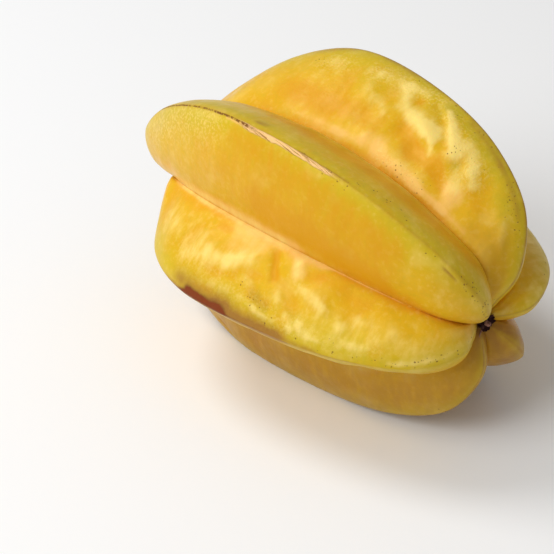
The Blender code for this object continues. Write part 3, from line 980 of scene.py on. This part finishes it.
class STARFRUIT_OT_fruit(bpy.types.Operator):
    """Grow the ribbed fruit with its skin"""

    bl_idname = "star_fruit.fruit"
    bl_label = "Fruit"

    def execute(self, context):
        settings = context.scene.star_fruit
        strokes = strokes_by_flank()
        crest_line = smooth_line([(x, share * RIB_REACH) for x, share in CREST_LINE], SKIN_RINGS + 1)
        groove_line = smooth_line([(x, share * GROOVE_REACH) for x, share in GROOVE_LINE], SKIN_RINGS + 1)
        around = 2 * FLANK_STEPS * len(RIBS)
        last_ring = SKIN_RINGS + 3
        bm = bmesh.new()
        bmesh.ops.create_uvsphere(bm, u_segments=around, v_segments=last_ring, radius=1.0)
        layers = {name: bm.verts.layers.float.new(name) for name in READS}
        for vert in bm.verts:
            ring = round(acos(min(max(vert.co.z, -1.0), 1.0)) / pi * last_ring)
            step = round(atan2(vert.co.y, vert.co.x) / tau * around) % around
            if ring in (0, last_ring):
                # The socket's floor takes the painted shade, the far scar's pole the brown stain
                vert.co = (SOCKET_X - SOCKET_DEPTH if ring == 0 else FAR_SCAR_X, 0.0, 0.0)
                vert[layers["brown"]] = END_SHADE_AND_STAIN
                continue
            row = max(ring - 2, 0)
            along = row / SKIN_RINGS
            vert.co, reads = skin_point(settings, strokes, crest_line[row], groove_line[row], along, step)
            for name, layer in layers.items():
                vert[layer] = reads[name]
            if ring == 1:
                vert.co.x -= SOCKET_DEPTH
        bmesh.ops.translate(bm, verts=bm.verts, vec=AXIS_START)
        for vert in bm.verts:
            vert.co.z = max(vert.co.z, FRUIT_LOW.z)
        finish_piece("star_fruit", bm, skin_material(settings), "fruit")
        return {"FINISHED"}


# The scraps of the dried calyx: direction as a share of a turn, length as a share of the collar's reach,
# width as a share of the usual one, and how pale and torn it is. The longest ones lie in the grooves.
SCRAPS = (
    (0.945, 1.30, 0.9, 0.0), (0.01, 1.05, 1.0, 0.0), (0.07, 1.00, 0.8, 0.1), (0.19, 0.80, 0.9, 0.0),
    (0.31, 0.92, 0.9, 0.0), (0.437, 1.45, 0.5, 0.0), (0.49, 1.00, 0.8, 0.0), (0.58, 0.80, 1.0, 0.1),
    (0.625, 1.40, 0.4, 0.9), (0.67, 0.85, 1.3, 0.0), (0.74, 0.90, 1.2, 0.0), (0.81, 1.00, 1.1, 0.0),
    (0.88, 0.95, 0.9, 0.2),
)
# A usual scrap: its sizes, where it starts and how narrow it gets in shares, and how ragged it is
SCRAP_THICKNESS = 0.0005
SCRAP_WIDTH = 0.0010
SCRAP_CURL = 0.0004
SCRAP_START = 0.20
SCRAP_NARROWEST = 0.35
SCRAP_TAPER = 0.6
SCRAP_THINNING = 0.6
SCRAP_TEARS = 0.25
SCRAP_RUFFLE = 0.4
SCRAP_TEAR_RUNS = (3, 2)
COLLAR_BELOW_TOP = 0.0013
STUMP_RADIUS = 0.0008
STUMP_TAPER = 0.8
STUMP_TEAR = 0.0004
STUMP_TEAR_SCALE = 900
STUMP_TEAR_SPREAD = 0.25
TORN_SEED = 7.7


def add_scrap(bm, torn_end, centre, turn, reach, wide, paleness):
    """One dry scrap of the calyx, lying out from the stump and curled up at its tip."""
    made = bmesh.ops.create_uvsphere(bm, u_segments=20, v_segments=16, radius=1.0)["verts"]
    angle = turn * tau
    along_runs, across_runs = SCRAP_TEAR_RUNS
    for vert in made:
        out = (vert.co.z + 1) / 2
        torn = noise.noise(Vector((along_runs * out, across_runs * vert.co.x, TORN_SEED * turn)))
        narrow = (1 - out) ** SCRAP_TAPER + SCRAP_TEARS * torn
        share = SCRAP_NARROWEST + (1 - SCRAP_NARROWEST) * narrow
        across = vert.co.x * wide * SCRAP_WIDTH * share
        thick = vert.co.y * SCRAP_THICKNESS * (1 - SCRAP_THINNING * out) / 2
        radius = reach * (SCRAP_START + (1 - SCRAP_START) * out)
        lift = SCRAP_CURL * (out**2 + SCRAP_RUFFLE * torn)
        y = radius * cos(angle) - across * sin(angle)
        z = radius * sin(angle) + across * cos(angle)
        vert[torn_end] = paleness
        vert.co = centre + Vector((thick + lift, y, z))


def add_stump(bm, torn_end):
    """The stump from the socket's floor to the stalk's top, torn off there."""
    made = bmesh.ops.create_cone(
        bm,
        segments=24,
        radius1=STUMP_RADIUS,
        radius2=STUMP_TAPER * STUMP_RADIUS,
        depth=STALK_HIGH.x - STALK_LOW.x,
        cap_ends=True,
    )["verts"]
    for vert in made:
        tear_place = Vector((STUMP_TEAR_SCALE * vert.co.x, STUMP_TEAR_SCALE * vert.co.y, TORN_SEED))
        torn = noise.noise(tear_place)
        at_end = vert.co.z > 0
        x = STALK_HIGH.x - STUMP_TEAR * (0.5 + torn) if at_end else STALK_LOW.x
        spread = 1 + STUMP_TEAR_SPREAD * torn if at_end else 1.0
        vert[torn_end] = 1.0 if at_end else 0.0
        vert.co = (x, AXIS_START.y + spread * vert.co.x, AXIS_START.z + spread * vert.co.y)


class STARFRUIT_OT_stalk(bpy.types.Operator):
    """Stand the dried stalk in its socket"""

    bl_idname = "star_fruit.stalk"
    bl_label = "Dried stalk"

    def execute(self, context):
        settings = context.scene.star_fruit
        collar = Vector((STALK_HIGH.x - COLLAR_BELOW_TOP, AXIS_START.y, AXIS_START.z))
        bm = bmesh.new()
        torn_end = bm.verts.layers.float.new("torn")
        for turn, share, wide, paleness in SCRAPS:
            add_scrap(bm, torn_end, collar, turn, COLLAR_REACH * share, wide, paleness)
        add_stump(bm, torn_end)
        finish_piece("dried_stalk_stump", bm, stalk_material(settings), "dried_stalk")
        return {"FINISHED"}


# The photograph's view: from the right of the front, well above, past the middle of the fruit
CAMERA_AZIMUTH = 43.8
CAMERA_ELEVATION = 35.5
CAMERA_DISTANCE = 0.666
CAMERA_LENS = 179.5
CAMERA_SENSOR = 36.0
AIM_RIGHT = -0.0166
AIM_UP = -0.0072
FLOOR_SIZE = 4.0
# The softboxes: the direction from the fruit, the distance and the diameter
KEY_LIGHT = ((-0.56, -0.15, 0.80), 0.80, 0.36)
FILL_LIGHT = ((-0.12, -0.75, 0.65), 0.95, 0.60)


def soft_light(name, place, power, target):
    direction, distance, size = place
    data = bpy.data.lights.new(name, "AREA")
    data.shape = "DISK"
    data.size = size
    data.energy = power
    light = bpy.data.objects.new(name, data)
    back = Vector(direction).normalized()
    light.location = target + back * distance
    light.rotation_euler = back.to_track_quat("Z", "Y").to_euler()
    bpy.context.scene.collection.objects.link(light)


def add_floor(settings):
    bm = bmesh.new()
    bmesh.ops.create_grid(bm, x_segments=8, y_segments=8, size=FLOOR_SIZE / 2)
    mesh = bpy.data.meshes.new("floor")
    bm.to_mesh(mesh)
    bm.free()
    mesh.materials.append(floor_material(settings))
    floor = bpy.data.objects.new("floor", mesh)
    bpy.context.scene.collection.objects.link(floor)


def add_room(scene, strength):
    world = bpy.data.worlds.new("studio")
    world.use_nodes = True
    background = world.node_tree.nodes["Background"]
    background.inputs["Color"].default_value = (1.0, 1.0, 1.0, 1.0)
    background.inputs["Strength"].default_value = strength
    scene.world = world


def add_camera():
    azimuth = radians(CAMERA_AZIMUTH)
    elevation = radians(CAMERA_ELEVATION)
    back = Vector((sin(azimuth) * cos(elevation), -cos(azimuth) * cos(elevation), sin(elevation)))
    right = Vector((cos(azimuth), sin(azimuth), 0.0))
    up = back.cross(right)
    data = bpy.data.cameras.new("camera")
    data.lens = CAMERA_LENS
    data.sensor_width = CAMERA_SENSOR
    camera = bpy.data.objects.new("camera", data)
    target = AXIS_START + AIM_RIGHT * right + AIM_UP * up
    camera.location = target + CAMERA_DISTANCE * back
    camera.rotation_euler = back.to_track_quat("Z", "Y").to_euler()
    bpy.context.scene.collection.objects.link(camera)
    bpy.context.scene.camera = camera


class STARFRUIT_OT_stage(bpy.types.Operator):
    """Lay the floor and set the lights and the camera"""

    bl_idname = "star_fruit.stage"
    bl_label = "Stage"

    def execute(self, context):
        scene = context.scene
        settings = scene.star_fruit
        add_floor(settings)
        centre = (FRUIT_LOW + FRUIT_HIGH) / 2
        soft_light("key_light", KEY_LIGHT, settings.key_power, centre)
        soft_light("fill_light", FILL_LIGHT, settings.fill_power, centre)
        add_room(scene, settings.room_light)
        scene.view_settings.view_transform = "Standard"
        add_camera()
        return {"FINISHED"}


class STARFRUIT_PT_panel(bpy.types.Panel):
    """The settings and the operators, in the order in which they run"""

    bl_label = "Star Fruit"
    bl_idname = "STARFRUIT_PT_panel"
    bl_space_type = "VIEW_3D"
    bl_region_type = "UI"
    bl_category = "Star Fruit"

    def draw(self, context):
        settings = context.scene.star_fruit
        for name in StarFruitSettings.__annotations__:
            self.layout.prop(settings, name)
        for operator in OPERATORS:
            self.layout.operator(operator.bl_idname)


OPERATORS = (STARFRUIT_OT_fruit, STARFRUIT_OT_stalk, STARFRUIT_OT_stage)
CLASSES = (StarFruitSettings, *OPERATORS, STARFRUIT_PT_panel)


def register():
    for cls in CLASSES:
        bpy.utils.register_class(cls)
    bpy.types.Scene.star_fruit = bpy.props.PointerProperty(type=StarFruitSettings)


def unregister():
    del bpy.types.Scene.star_fruit
    for cls in reversed(CLASSES):
        bpy.utils.unregister_class(cls)


def main():
    register()
    bpy.ops.star_fruit.fruit()
    bpy.ops.star_fruit.stalk()
    bpy.ops.star_fruit.stage()


if __name__ == "__main__":
    main()
